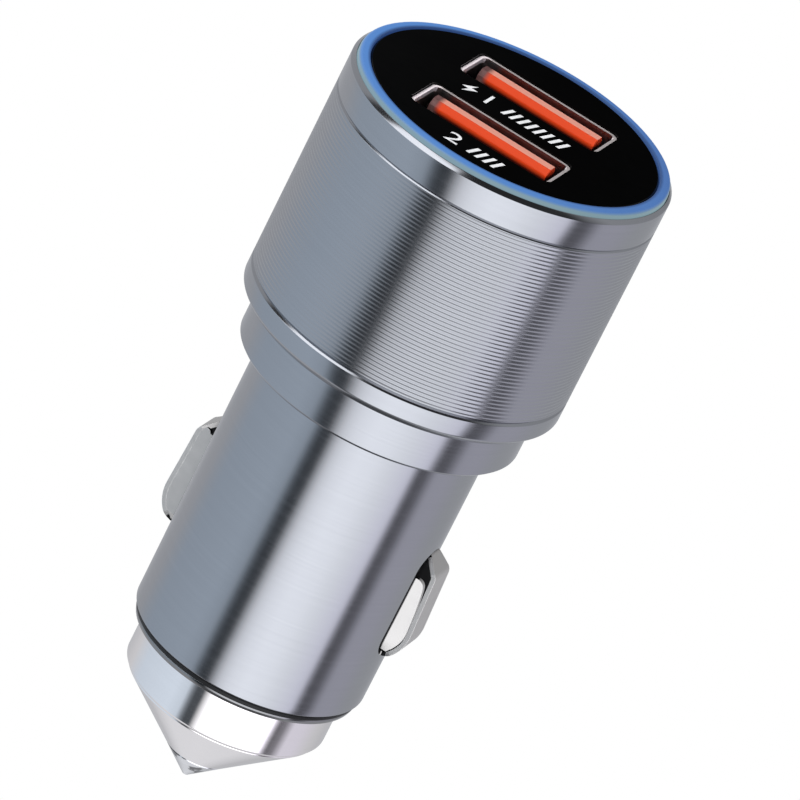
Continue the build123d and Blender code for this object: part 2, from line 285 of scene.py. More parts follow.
def head_rings():
    """Rings between the grooves: depth = rib depth times |2t - 1|, t from 0 to 1 down each ring."""
    high = upper_groove_z - upper_groove_w / 2 - groove_lip
    low = lower_groove_z + lower_groove_w / 2 + groove_lip
    count = round((high - low) / rib_pitch)
    t = (np.arange(count)[:, None] + rib_places).ravel()[1:]
    depth = rib_deep * np.abs(2 * (t % 1) - 1)
    return np.stack((head_r - depth, high - t * (high - low) / count), axis=1)


def groove(z, width, depth, root):
    """Corners of a groove in the head: its root is above its middle, so its lower side is a bevel."""
    half = width / 2
    return [
        (head_r, z + half, soft_edge / 2),
        (head_r - depth, z + root, 0),
        (head_r, z - half, soft_edge),
    ]


def barrel_radius(z):
    """Outer radius of the barrel: straight on the land, then drawn in evenly to its end."""
    share = np.clip((z - seat_land_z) / (barrel_end_z + edge_break - seat_land_z), 0, 1)
    return barrel_r - barrel_draft * share


slot_rows_z = np.linspace(contact_z + patch_half_h, contact_z - patch_half_h, patch_rows)


def shell_outline():
    """Closed outline of the shell, and the row numbers where the slot rows start outside and inside."""
    rim_r = head_r - rim_bevel_w
    seat_r = rim_r - rim_lip_t
    end_r = barrel_r - barrel_draft
    top = rounded([
        (seat_r, rim_z, 0),
        (rim_r, rim_z, soft_edge),
        (head_r, rim_z - rim_bevel_h, soft_edge),
        *groove(upper_groove_z, upper_groove_w, upper_groove_deep, upper_groove_root),
        (head_r, upper_groove_z - upper_groove_w, 0),
    ])[:-1]
    middle = rounded([
        (head_r, lower_groove_z + lower_groove_w, 0),
        *groove(lower_groove_z, lower_groove_w, lower_groove_deep, lower_groove_root),
        (head_r, neck_z + head_edge, head_edge / 2),
        (head_r - head_edge, neck_z, head_edge / 2),
        (neck_r, neck_z, 0),
        (neck_r, edge_break, soft_edge),
        (neck_r - edge_break, 0, soft_edge),
        (barrel_r, 0, 0),
        (barrel_r, seat_land_z, 0),
    ])[1:]
    outer = np.stack((barrel_radius(slot_rows_z), slot_rows_z), axis=1)
    end = rounded([
        (end_r, barrel_end_z + 3 * edge_break, 0),
        (end_r, barrel_end_z + edge_break, soft_edge),
        (end_r - edge_break, barrel_end_z, soft_edge),
        (barrel_bore_r, barrel_end_z, 0),
    ])
    inner = np.stack((np.full(patch_rows, barrel_bore_r), slot_rows_z[::-1]), axis=1)
    inside = np.array([*bore_steps, (bore_steps[-1][0], ring_seat_z), (seat_r, ring_seat_z)])
    stretches = [top, head_rings(), middle, outer, end, inner, inside]
    starts = np.cumsum([len(s) for s in stretches])
    return np.vstack(stretches), starts[2], starts[4]


def slot_wall():
    """Skin of the +X slot: rings from a rectangle of the barrel's grid to the slot's rounded edge,
    through the wall, and out to the same rectangle of the bore. The slot's edge is the point at its
    half width from the middle line, in the direction of the rectangle's point."""
    angle = np.arange(-patch_columns, patch_columns + 1) * 2 * pi / columns
    z = slot_rows_z
    rows, cols = len(z) - 1, len(angle) - 1
    turn = np.concatenate((angle[:-1], np.full(rows, angle[-1]), angle[:0:-1], np.full(rows, angle[0])))
    height = np.concatenate((np.full(cols, z[0]), z[:-1], np.full(cols, z[-1]), z[:0:-1]))

    def on_wall(flat, radius, sunk):
        across, up = flat.T
        return np.stack((np.sqrt(radius**2 - across**2) - sunk, across, up), axis=1)

    def rectangle(radius):
        return np.stack((radius * np.sin(turn), height), axis=1)

    def edge(rim, reach):
        up = np.clip(rim[:, 1], contact_z - slot_straight, contact_z + slot_straight)
        middle = np.stack((np.zeros_like(up), up), axis=1)
        way = rim - middle
        return middle + way / np.linalg.norm(way, axis=1, keepdims=True) * reach

    rings = []
    outer = rectangle(barrel_radius(height))
    lip = edge(outer, slot_half_w + slot_round)
    for share in slot_skin_shares:
        flat = outer + (lip - outer) * share
        rings.append(on_wall(flat, barrel_radius(flat[:, 1]), 0))
    for roll in np.radians(slot_round_turns):
        flat = edge(outer, slot_half_w + slot_round * (1 - sin(roll)))
        rings.append(on_wall(flat, barrel_radius(flat[:, 1]), slot_round * (1 - cos(roll))))
    inner = rectangle(barrel_bore_r)
    lip = edge(outer, slot_half_w)
    for share in slot_bore_shares:
        flat = lip + (inner - lip) * share
        rings.append(on_wall(flat, barrel_bore_r, 0))
    rings = np.stack(rings)
    return rings, grid_faces(len(rings), rings.shape[1], False)


def body_shell(finish):
    """The whole turned shell, with both slots let into its barrel."""
    outline, outer_row, inner_row = shell_outline()
    faces = grid_faces(len(outline), columns, True)
    kept = np.ones(faces.shape[:2], bool)
    span = np.arange(-patch_columns, patch_columns)
    for row in (outer_row, inner_row):
        for middle in (0, columns // 2):
            kept[row:row + patch_rows - 1, (span + middle) % columns] = False
    wall, wall_faces = slot_wall()
    parts = [(lathe(outline, columns), faces[kept]), (wall, wall_faces), (half_turn(wall), wall_faces)]
    return put_mesh("turned_shell", parts, finish, "charger", ["body_shell"])


# Lathe-turned smaller pieces

def turned_piece(name, corners, finish, node, closed=True, steps=4):
    """A small piece turned from rounded corners, closed as a ring or at the axis."""
    outline = rounded(corners, steps)
    parts = [(lathe(outline, columns // 2), grid_faces(len(outline), columns // 2, closed))]
    return put_mesh(name, parts, finish, "charger", [node])


def light_ring(finish):
    """Ring with a rounded shoulder, proud of the rim, and its foot under the panel."""
    foot_z = ring_seat_z - ring_foot_t
    corners = [
        (ring_hole_r, ring_seat_z, 0),
        (ring_hole_r, top_z, ring_inner_round),
        (ring_r, top_z, ring_round),
        (ring_r, ring_seat_z, 0),
        (ring_foot_out_r, ring_seat_z, 0),
        (ring_foot_out_r, foot_z, 0),
        (ring_foot_r, foot_z, 0),
        (ring_foot_r, ring_seat_z, 0),
    ]
    return turned_piece("lit_ring", corners, finish, "light_ring", steps=6)


def washer(finish):
    """Black washer with a softened rim."""
    hole_r = spigot_r + washer_gap
    corners = [
        (hole_r, washer_low[2], 0),
        (washer_r, washer_low[2], soft_edge),
        (washer_r, washer_high[2], soft_edge),
        (hole_r, washer_high[2], 0),
    ]
    return turned_piece("black_washer", corners, finish, "insulating_washer")


def nose(finish):
    """Bright nose from its spigot to the tip's seat, with a thin flange under the washer."""
    bore_r = tip_stem_r + stem_gap
    corners = [
        (0, nose_high[2], 0),
        (spigot_r, nose_high[2], spigot_edge),
        (spigot_r, flange_top_z, 0),
        (flange_r, flange_top_z, soft_edge / 2),
        (flange_r, flange_top_z - flange_land, soft_edge / 2),
        (flange_r - flange_draft, flange_z, soft_edge / 2),
        (nose_r, flange_z, 0),
        (nose_r, nose_land_z, nose_edge),
        (nose_r - nose_bevel, nose_land_z - nose_bevel, 0),
        (nose_r - nose_bevel, nose_land_z - nose_bevel - nose_line, nose_edge),
        (tip_r, tip_base_z, 0),
        (bore_r, tip_base_z, 0),
        (bore_r, tip_high[2] + stem_gap, 0),
        (0, tip_high[2] + stem_gap, 0),
    ]
    return turned_piece("bright_nose", corners, finish, "nose_cap", closed=False)


def tip(finish):
    """Hard tip with a blunted point."""
    corners = [
        (0, tip_high[2], 0),
        (tip_stem_r, tip_high[2], 0),
        (tip_stem_r, tip_base_z, 0),
        (tip_r - tip_undercut, tip_base_z, 0),
        (tip_r - tip_undercut, tip_base_z - tip_undercut, 0),
        (tip_flat_r, tip_apex_z, tip_round),
        (0, tip_apex_z, 0),
    ]
    return turned_piece("hard_tip", corners, finish, "strike_tip", closed=False)


# Sprung contacts

def strip_face():
    """Outer face of the strip in the XZ plane: leg, ramp, leaning crest, and a lead-in arc that leaves
    the crest without a corner and ends at the barrel's wall."""
    ramp_end = np.array((crest_x - crest_lean, contact_top_z - ramp_h))
    lead_start = np.array((crest_x, contact_bottom_z + lead_h))
    lead_end = np.array((barrel_r, contact_bottom_z))
    along = unit(lead_start - ramp_end)
    inward = np.array((along[1], -along[0]))
    gap = lead_end - lead_start
    radius = gap @ gap / (2 * gap @ inward)
    centre = lead_start + inward * radius
    first, last = (np.arctan2(*(p - centre)[::-1]) for p in (lead_start, lead_end))
    angle = np.linspace(first, last, lead_points)
    arc = centre + radius * np.stack((np.cos(angle), np.sin(angle)), axis=1)
    upper = rounded([
        (foot_in_x, contact_top_z, 0),
        (barrel_r, contact_top_z, ramp_foot_round),
        (*ramp_end, crest_round),
        (*lead_start, 0),
    ], steps=6)
    crest = np.linspace(upper[-2], upper[-1], crest_points)
    return np.vstack((upper[:-2], crest[:-1], arc, [(foot_in_x, contact_bottom_z + sheet_t / 2)]))


def stadium_half_width(z, half_w):
    """Half width of a round-ended bar at a height: full beside its straight part, then a circle's, and
    never less than the strip's ends have."""
    past = np.clip(np.abs(z - contact_z) - slot_straight, 0, None)
    return np.sqrt(np.clip(half_w**2 - past**2, end_half_w**2, None))


def strip():
    """A rounded sheet section carried along the strip's face, as wide as the round-ended bar allows."""
    face = strip_face()
    along = np.gradient(face, axis=0)
    along /= np.linalg.norm(along, axis=1, keepdims=True)
    inward = np.stack((along[:, 1], -along[:, 0]), axis=1)
    core = face + inward * sheet_t / 2
    half_w = np.minimum(stadium_half_width(core[:, 1], contact_half_w), bow_half_w)[:, None]
    roll = np.radians(np.array((0, 45, 90)))
    side = np.concatenate((roll, roll + pi / 2, roll + pi, roll + 3 * pi / 2))
    out_side = np.repeat((1, -1, -1, 1), len(roll))
    out = out_side * (sheet_t / 2 - sheet_round) + np.cos(side) * sheet_round
    cross_side = np.repeat((1, 1, -1, -1), len(roll))
    across = cross_side * (half_w - sheet_round) + np.sin(side) * sheet_round
    x = core[:, :1] - inward[:, :1] * out
    z = core[:, 1:] - inward[:, 1:] * out
    under = face + inward * sheet_t
    return loft(np.stack((x, across, z), axis=-1)), under


def wing(under, ends, top_round, gaps, face_y, lean):
    """A leaning side plate with a round top: at each height it runs from its root out to the strip's
    underside, less a gap that opens with the fourth power of the height, or to the round. Its face may
    lean in from the slot towards the strip."""
    low_z, high_z = ends
    low_gap, high_gap = gaps
    straight = np.linspace(low_z, high_z - top_round, wing_rows)
    roll = np.radians(wing_round_turns)
    z = np.concatenate((straight, high_z - top_round + top_round * np.sin(roll)))
    reach = np.concatenate((np.ones(len(straight)), np.cos(roll)))
    order = np.argsort(under[:, 1])
    rise = (z - low_z) / (high_z - low_z)
    strip_x = np.interp(z, under[order, 1], under[order, 0]) - low_gap - high_gap * rise**4
    middle_x = strip_x[len(straight)] - top_round
    edge_x = np.where(reach < 1, np.minimum(middle_x + top_round * reach, strip_x), strip_x)
    root_x = np.where(reach < 1, np.maximum(middle_x - top_round * reach, wing_root_x), wing_root_x)
    share = np.linspace(0, 1, wing_columns)
    x = root_x[:, None] + (edge_x - root_x)[:, None] * share
    leant = face_y - np.clip(x - wing_lean_x, 0, None) * lean
    face = np.minimum(leant, stadium_half_width(z, contact_half_w)[:, None])
    height = np.broadcast_to(z[:, None], x.shape)
    front = np.stack((x, face, height), axis=-1)
    back = np.stack((x, face - wing_t, height), axis=-1)[:, ::-1]
    return loft(np.concatenate((front, back), axis=1))


def slab(low, high):
    """A box between two corners as a lofted ring of four points."""
    (x0, y0, z0), (x1, y1, z1) = low, high
    ring = np.array(((x0, y0), (x1, y0), (x1, y1), (x0, y1)))
    rows = [np.column_stack((ring, np.full(4, z))) for z in (z0, z1)]
    return loft(np.stack(rows))


def ground_contact(side, finish):
    """Strip, middle rib, two wings and the feet behind the barrel's wall, on the body of their side."""
    bow, under = strip()
    parts = [bow]
    inner_y = bow_half_w - wing_inset
    foot_low = (foot_in_x, contact_half_w - wing_t, contact_bottom_z + contact_half_w)
    foot = slab(foot_low, (foot_in_x + sheet_t, foot_reach, short_wing_z[1]))
    web_high = (wing_root_x + sheet_t / 2, inner_y, short_wing_z[1] - short_wing_round)
    web = slab(foot_low, web_high)
    short_wing = wing(under, short_wing_z, short_wing_round, short_wing_gaps, contact_half_w, wing_lean)
    long_wing = wing(under, long_wing_z, long_wing_round, long_wing_gaps, inner_y, 0)
    parts.append(wing(under, rib_z, long_wing_round, long_wing_gaps, wing_t / 2, 0))
    for way, plate in ((-1, short_wing), (1, long_wing)):
        parts += [(points * np.array((1, way, 1)), faces) for points, faces in (plate, foot, web)]
    if side == "left":
        parts = [(half_turn(points), faces) for points, faces in parts]
    name = f"sprung_contact_{side}"
    stands_for = [f"ground_contact_{side}"]
    body = f"{side}_contact"
    piece = put_mesh(name, parts, finish, body, stands_for, contact_sharp_turn)
    piece.visible_glossy = False
    return piece


def leaf_spring(side, finish):
    """Bowed leaf: its middle line is a parabola along Z from the pocket's floor to the feet."""
    along = np.linspace(-1, 1, spring_points)
    low_x, high_x = spring_low[0], spring_high[0] - spring_t
    x = low_x + (high_x - low_x) * (1 - along**2)
    z = contact_z + along * (spring_high[2] - spring_low[2]) / 2
    half_w = spring_high[1]
    corners = np.array(((0, -half_w), (spring_t, -half_w), (spring_t, half_w), (0, half_w)))
    across = x[:, None] + corners[:, 0]
    rings = np.stack(np.broadcast_arrays(across, corners[:, 1], z[:, None]), axis=-1)
    points, faces = loft(rings)
    if side == "left":
        points = half_turn(points)
    name = f"leaf_spring_{side}"
    stands_for = [f"contact_spring_{side}"]
    piece = put_mesh(name, [(points, faces)], finish, "charger", stands_for)
    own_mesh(piece)
    return piece


# Print on the panel

print_t = 0.012
row_middle_y = 0.0
row_front_y = -10.2
bolt_h = 2.2
bolt_x = -4.4
bolt_outline = np.array((
    (0.16, 0.5),
    (-0.3, -0.06),
    (-0.03, -0.06),
    (-0.16, -0.5),
    (0.3, 0.1),
    (0.03, 0.1),
))
cell_w = 0.34
cell_h = 1.7
cell_step = 0.75
cell_slant = 0.4
cell_rows = ((8, -1.1, row_middle_y), (4, 0.2, row_front_y))
numeral_h = 2.0
numeral_share = 0.7
numerals = (("1", -2.6, row_middle_y), ("2", -1.3, row_front_y))


def film(outline):
    """A flat outline on the panel with the print's thickness, as two caps and a band of sides."""
    count = len(outline)
    rows = [np.column_stack((outline, np.full(count, panel_top_z + z))) for z in (0, print_t)]
    points = np.concatenate(rows)
    ring = np.arange(count)
    band = np.stack((ring, (ring + 1) % count, (ring + 1) % count + count, ring + count), axis=1)
    return [(points, band), (points, ring[None]), (points, ring[None] + count)]


def numeral(text, x, y):
    """A plain numeral, made a mesh and laid on the panel."""
    curve = bpy.data.curves.new("numeral", "FONT")
    curve.body = text
    curve.size = numeral_h / numeral_share
    curve.align_x, curve.align_y = "CENTER", "CENTER"
    curve.extrude = print_t / 2
    holder = bpy.data.objects.new("numeral", curve)
    scene.collection.objects.link(holder)
    shape = holder.evaluated_get(bpy.context.evaluated_depsgraph_get())
    mesh = bpy.data.meshes.new_from_object(shape)
    mesh.transform(Matrix.Translation((x, y, panel_top_z + print_t / 2)))
    bpy.data.objects.remove(holder)
    return mesh


def panel_print(finish):
    """Charge bolt and level cells between the ports, with a plain port number in front of each row."""
    parts = film(bolt_outline * bolt_h + np.array((bolt_x, row_middle_y)))
    cell = np.array(((0, 0), (cell_w, 0), (cell_w + cell_slant, cell_h), (cell_slant, cell_h)))
    for count, first_x, y in cell_rows:
        for place in range(count):
            parts += film(cell + np.array((first_x + place * cell_step, y - cell_h / 2)))
    for text, x, y in numerals:
        mesh = numeral(text, x, y)
        points = np.empty(len(mesh.vertices) * 3)
        mesh.vertices.foreach_get("co", points)
        mesh.calc_loop_triangles()
        faces = np.empty(len(mesh.loop_triangles) * 3, int)
        mesh.loop_triangles.foreach_get("vertices", faces)
        parts.append((points.reshape(-1, 3), faces.reshape(-1, 3)))
        bpy.data.meshes.remove(mesh)
    return put_mesh("panel_print", parts, finish, "charger")


# Finishes

tool_sway = 60.0
coarse_share = 0.15
noise_low = 0.3
noise_high = 0.7
relief_h = 0.02


def add(tree, kind, inputs=None, **settings):
    """A shader node with its settings, and its inputs set to a value or joined to a socket."""
    made = tree.nodes.new("ShaderNode" + kind)
    for name, value in settings.items():
        setattr(made, name, value)
    for key, value in (inputs or {}).items():
        if isinstance(value, bpy.types.NodeSocket):
            tree.links.new(value, made.inputs[key])
        else:
            made.inputs[key].default_value = value
    return made


def math(tree, operation, *values):
    """The value of one sum."""
    return add(tree, "Math", dict(enumerate(values)), operation=operation).outputs[0]


def between(tree, value, low, high):
    """Share of the way from one number to another, kept from 0 to 1."""
    return add(tree, "MapRange", {0: value, 1: low, 2: high}).outputs[0]


def span(tree, length, low, high):
    """Share of the way from one length to another."""
    return between(tree, length, low * MM, high * MM)


def place_of(tree):
    """The three coordinates of a point on the piece."""
    return add(tree, "SeparateXYZ", {0: add(tree, "TexCoord").outputs["Object"]}).outputs


def facing_of(tree):
    """The three shares of the direction that a surface faces."""
    return add(tree, "SeparateXYZ", {0: add(tree, "NewGeometry").outputs["Normal"]}).outputs


def axis_distance(tree, place):
    """Distance of a point from the plug's axis."""
    flat = add(tree, "CombineXYZ", {0: place[0], 1: place[1]}).outputs[0]
    return add(tree, "VectorMath", {0: flat}, operation="LENGTH").outputs["Value"]


def new_group(name, values, out):
    """An empty node group with named number inputs and one number output."""
    tree = bpy.data.node_groups.new(name, "ShaderNodeTree")
    for label, value in values.items():
        socket = tree.interface.new_socket(label, in_out="INPUT", socket_type="NodeSocketFloat")
        socket.default_value = value
    tree.interface.new_socket(out, in_out="OUTPUT", socket_type="NodeSocketFloat")
    return tree, tree.nodes.new("NodeGroupInput").outputs, tree.nodes.new("NodeGroupOutput").inputs


def turned_lines_group():
    """Lines left by a lathe tool: noise that changes fast along height plus radius, and slowly round the
    axis."""
    tree, given, result = new_group("turned_lines", {"Fineness": 4000.0, "Sway": tool_sway}, "Lines")
    place = place_of(tree)
    way = math(tree, "ADD", axis_distance(tree, place), place[2])
    along = math(tree, "MULTIPLY", way, given["Fineness"])
    x = math(tree, "MULTIPLY", place[0], given["Sway"])
    y = math(tree, "MULTIPLY", place[1], given["Sway"])
    where = add(tree, "CombineXYZ", {0: along, 1: x, 2: y}).outputs[0]
    noise = {"Vector": where, "Scale": 1.0, "Detail": 3.0, "Roughness": 0.6}
    tree.links.new(add(tree, "TexNoise", noise).outputs[0], result[0])
    return tree


def mottle_group():
    """Uneven surface: a fine and a coarse noise on object coordinates, averaged."""
    tree, given, result = new_group("surface_mottle", {"Scale": 900.0, "Coarse": coarse_share}, "Mottle")
    where = add(tree, "TexCoord").outputs["Object"]
    coarse_scale = math(tree, "MULTIPLY", given["Scale"], given["Coarse"])
    fine = add(tree, "TexNoise", {"Vector": where, "Scale": given["Scale"], "Detail": 4.0}).outputs[0]
    coarse = add(tree, "TexNoise", {"Vector": where, "Scale": coarse_scale, "Detail": 2.0}).outputs[0]
    tree.links.new(math(tree, "MULTIPLY", math(tree, "ADD", fine, coarse), 0.5), result[0])
    return tree


turned_lines = turned_lines_group()
surface_mottle = mottle_group()


def use_group(tree, group, **values):
    """One use of a group with its own values, and its number output."""
    made = add(tree, "Group", node_tree=group)
    for label, value in values.items():
        made.inputs[label].default_value = value
    return made.outputs[0]


def blend(tree, share, first, second):
    """A colour between two colours."""
    mix = add(tree, "Mix", {0: share, 6: first, 7: second}, data_type="RGBA")
    return mix.outputs[2]


def spread(tree, value, low, high):
    """A noise value from the middle of its range, stretched between two numbers."""
    return add(tree, "MapRange", {0: value, 1: noise_low, 2: noise_high, 3: low, 4: high}).outputs[0]


def new_finish(name, **shader):
    """A material with its principled shader set to plain values."""
    finish = bpy.data.materials.new(name)
    finish.use_nodes = True
    principled = finish.node_tree.nodes["Principled BSDF"]
    for label, value in shader.items():
        principled.inputs[label.replace("_", " ").title().replace("Ior", "IOR")].default_value = value
    return finish, finish.node_tree, principled


def grey(level, tint=(1.0, 1.0, 1.0)):
    """A colour of one level, with an optional tint."""
    return (level * tint[0], level * tint[1], level * tint[2], 1.0)


def dress(tree, principled, pattern, colours, roughness, bump):
    """Colour, roughness and relief that follow one pattern."""
    share = spread(tree, pattern, 0.0, 1.0)
    tree.links.new(blend(tree, share, *colours), principled.inputs["Base Color"])
    tree.links.new(spread(tree, pattern, *roughness), principled.inputs["Roughness"])
    relief = add(tree, "Bump", {"Height": pattern, "Strength": bump, "Distance": relief_h * MM})
    tree.links.new(relief.outputs[0], principled.inputs["Normal"])


def turned_metal(name, colours, roughness, bump, fineness):
    """Metal with the fine rings of a lathe tool."""
    finish, tree, principled = new_finish(name, metallic=1.0)
    lines = use_group(tree, turned_lines, Fineness=fineness, Sway=tool_sway)
    dress(tree, principled, lines, colours, roughness, bump)
    return finish


def mottled(name, colours, roughness, bump, scale, **shader):
    """A moulded, rolled or painted surface with a slight unevenness."""
    finish, tree, principled = new_finish(name, **shader)
    pattern = use_group(tree, surface_mottle, Scale=scale, Coarse=coarse_share)
    dress(tree, principled, pattern, colours, roughness, bump)
    return finish


# Finishes with one pattern: two colours, two roughnesses, relief and fineness
shell_tint = (0.97, 0.99, 1.03)
shell_colours = (grey(0.412, shell_tint), grey(0.428, shell_tint))
gold_colours = ((0.8, 0.5, 0.16, 1), (0.9, 0.6, 0.22, 1))
green_colours = ((0.01, 0.11, 0.05, 1), (0.02, 0.17, 0.08, 1))
washer_colours = (grey(0.006), grey(0.012))
face_colours = (grey(0.0006), grey(0.0012))
shell_metal = turned_metal("shell_metal", shell_colours, (0.13, 0.165), 0.006, 5000.0)
spring_steel = mottled("spring_steel", (grey(0.4), grey(0.5)), (0.25, 0.4), 0.05, 1500.0, metallic=1.0)
terminal_gold = mottled("terminal_gold", gold_colours, (0.3, 0.45), 0.05, 2500.0, metallic=0.4)
washer_black = mottled("washer_black", washer_colours, (0.35, 0.5), 0.1, 1800.0, specular_ior_level=0.3)
core_black = mottled("core_black", (grey(0.01), grey(0.018)), (0.45, 0.6), 0.15, 1500.0)
chip_black = mottled("chip_black", (grey(0.012), grey(0.02)), (0.5, 0.65), 0.15, 3000.0)
choke_grey = mottled("choke_grey", (grey(0.06), grey(0.1)), (0.5, 0.7), 0.25, 2500.0)
can_metal = mottled("can_metal", (grey(0.6), grey(0.7)), (0.3, 0.4), 0.05, 2000.0, metallic=1.0)
board_green = mottled("board_green", green_colours, (0.3, 0.45), 0.1, 700.0)
lamp_white = mottled("lamp_white", (grey(0.75), grey(0.85)), (0.3, 0.45), 0.05, 3000.0)
print_white = mottled("print_white", (grey(0.82), grey(0.92)), (0.4, 0.55), 0.05, 4000.0)
face_black = mottled("face_black", face_colours, (0.015, 0.03), 0.004, 1200.0, specular_ior_level=0.08)


def upward(tree, low, high):
    """Share of a surface that faces up, from none at one height of its normal to all at another."""
    return between(tree, facing_of(tree)[2], low, high)


def above(tree, low_z, high_z):
    """Share of a surface above a height, from none at one height to all at another."""
    return span(tree, place_of(tree)[2], low_z, high_z)


def rightward(tree, left_x, right_x):
    """Share of a surface on the right, from none at one place to all at another."""
    return span(tree, place_of(tree)[0], left_x, right_x)


def colour_of(principled):
    """The colour that a dressed shader has so far."""
    return principled.inputs["Base Color"].links[0].from_socket


# Contact plating: free of painted shade outside these radii, on faces that look this far outwards
contact_tint = (1.03, 1.0, 0.95)
contact_colours = (grey(0.66, contact_tint), grey(0.72, contact_tint))
contact_painted_shade = grey(0.025)
contact_unshaded_r = (barrel_r - 0.12, barrel_r - 0.05)
crest_weight = 0.2
outer_face_y = 0.3


def contact_finish():
    """Satin plated strip, with painted shade on its inner faces and on the part that stays inside the
    slot.
    """
    finish, tree, principled = new_finish("contact_steel", metallic=1.0)
    pattern = use_group(tree, surface_mottle, Scale=1500.0, Coarse=coarse_share)
    dress(tree, principled, pattern, contact_colours, (0.4, 0.5), 0.03)
    # Painted shade: dark where the faces look inwards and on the part inside the slot, where shade falls
    place = place_of(tree)
    out = span(tree, math(tree, "ABSOLUTE", place[0]), *contact_unshaded_r)
    normal = add(tree, "NewGeometry").outputs["True Normal"]
    crest = math(tree, "MULTIPLY", place[0], crest_weight)
    outward = add(tree, "CombineXYZ", {0: crest, 1: place[1]}).outputs[0]
    facing = add(tree, "VectorMath", {0: normal, 1: outward}, operation="DOT_PRODUCT").outputs["Value"]
    unshaded = math(tree, "MULTIPLY", out, math(tree, "GREATER_THAN", facing, outer_face_y * MM))
    colour = blend(tree, unshaded, contact_painted_shade, colour_of(principled))
    tree.links.new(colour, principled.inputs["Base Color"])
    return finish


# Nose plating
nose_tint = (1.05, 1.01, 0.985)
nose_colours = (grey(0.93, nose_tint), grey(0.952, nose_tint))
flange_dull = grey(0.3)
flange_dull_z = (flange_z - 0.02, flange_z + 0.02)


def nose_finish():
    """Bright plated nose, with a dull flange under the washer."""
    finish, tree, principled = new_finish("nose_chrome", metallic=1.0)
    lines = use_group(tree, turned_lines, Fineness=4000.0, Sway=tool_sway)
    dress(tree, principled, lines, nose_colours, (0.06, 0.1), 0.004)
    colour = blend(tree, above(tree, *flange_dull_z), colour_of(principled), flange_dull)
    tree.links.new(colour, principled.inputs["Base Color"])
    return finish


# Pits in the tip
pit_range = (0.44, 0.4)
pit_dark = grey(0.06)


def tip_finish():
    """Bright hard metal with dark pits."""
    finish, tree, principled = new_finish("tip_steel", metallic=1.0)
    pattern = use_group(tree, surface_mottle, Scale=1500.0, Coarse=0.3)
    dress(tree, principled, pattern, (grey(0.8), grey(0.95)), (0.06, 0.16), 0.1)
    pits = use_group(tree, surface_mottle, Scale=650.0, Coarse=0.5)
    pit = between(tree, pits, *pit_range)
    colour = blend(tree, pit, colour_of(principled), pit_dark)
    tree.links.new(colour, principled.inputs["Base Color"])
    return finish


# Port rims: a painted highlight at the left end that fades to painted shade along the rest, and a
# painted highlight again on the end walls' lips
rim_painted_highlight = (1.0, 0.9, 0.91, 1)
rim_painted_shade = (0.42, 0.38, 0.37, 1)
rim_facing = (0.6, 0.9)
cut_z = (port_high[2] - 0.1, port_high[2] - 0.05)
highlight_fade_x = (0.5 - port_high[0], 0.9 - port_high[0])
end_wall_facing = 0.7
lip_z = (port_high[2] - 0.45, port_high[2] - 0.4)


def port_finish():
    """Folded steel, dull inside, with a matt edge where the sheet was cut and on the end walls' lips: a
    painted highlight at the left end and on the lips, and painted shade along the rest of the cut edge.
    """
    finish, tree, principled = new_finish("port_steel")
    pattern = use_group(tree, surface_mottle, Scale=2000.0, Coarse=coarse_share)
    dress(tree, principled, pattern, (grey(0.3), grey(0.4)), (0.25, 0.4), 0.04)
    end_wall = math(tree, "GREATER_THAN", math(tree, "ABSOLUTE", facing_of(tree)[0]), end_wall_facing)
    lip = math(tree, "MULTIPLY", end_wall, above(tree, *lip_z))
    cut = math(tree, "MULTIPLY", upward(tree, *rim_facing), above(tree, *cut_z))
    # Painted highlight at the left end of the rims, fading to painted shade towards the right
    rim = blend(tree, rightward(tree, *highlight_fade_x), rim_painted_highlight, rim_painted_shade)
    colour = blend(tree, lip, blend(tree, cut, colour_of(principled), rim), rim_painted_highlight)
    tree.links.new(colour, principled.inputs["Base Color"])
    bare = math(tree, "SUBTRACT", 1.0, math(tree, "MAXIMUM", cut, lip))
    tree.links.new(bare, principled.inputs["Metallic"])
    return finish


# Tongues: orange, deeper on the chamfer, painted shade down in the port, a painted highlight that makes
# the top pale, and painted shade at the left end
tongue_colours = ((0.95, 0.072, 0.013, 1), (1.0, 0.085, 0.016, 1))
tongue_deep = (0.62, 0.055, 0.012, 1)
tongue_port_shade = (0.04, 0.004, 0.002, 1)
tongue_top_highlight = (0.72, 0.31, 0.23, 1)
tongue_end_shade = ((0.05, 0.022, 0.02, 1), (0.16, 0.085, 0.08, 1))
chamfer_facing = (0.2, 0.6)
top_facing = (0.75, 0.95)
port_shade_z = (tongue_high[2] - 0.85, tongue_high[2] - 0.4)
top_highlight_z = (tongue_high[2] - 0.1, tongue_high[2] - 0.05)
end_shade_x = (tongue_low[0] + 1.1, tongue_low[0] + 1.6)


def tongue_finish():
    """Orange moulding: sides with painted shade that darkens them down in the port, a deeper chamfer, a
    painted highlight that makes the top paler and salmon coloured, and mottled painted shade over the
    left end."""
    finish, tree, principled = new_finish("tongue_orange", specular_ior_level=0.15)
    pattern = use_group(tree, surface_mottle, Scale=1600.0, Coarse=coarse_share)
    dress(tree, principled, pattern, tongue_colours, (0.35, 0.5), 0.08)
    deeper = blend(tree, upward(tree, *chamfer_facing), colour_of(principled), tongue_deep)
    # Painted shade: the sides darken deep in the port, where shade falls
    shaded = blend(tree, above(tree, *port_shade_z), tongue_port_shade, deeper)
    # Painted highlight: the upward facing top turns paler and salmon coloured
    top_highlight = math(tree, "MULTIPLY", upward(tree, *top_facing), above(tree, *top_highlight_z))
    topped = blend(tree, top_highlight, shaded, tongue_top_highlight)
    # Painted shade over the left end, mottled between two colours
    dull = blend(tree, spread(tree, pattern, 0.0, 1.0), *tongue_end_shade)
    colour = blend(tree, rightward(tree, *end_shade_x), dull, topped)
    tree.links.new(colour, principled.inputs["Base Color"])
    return finish


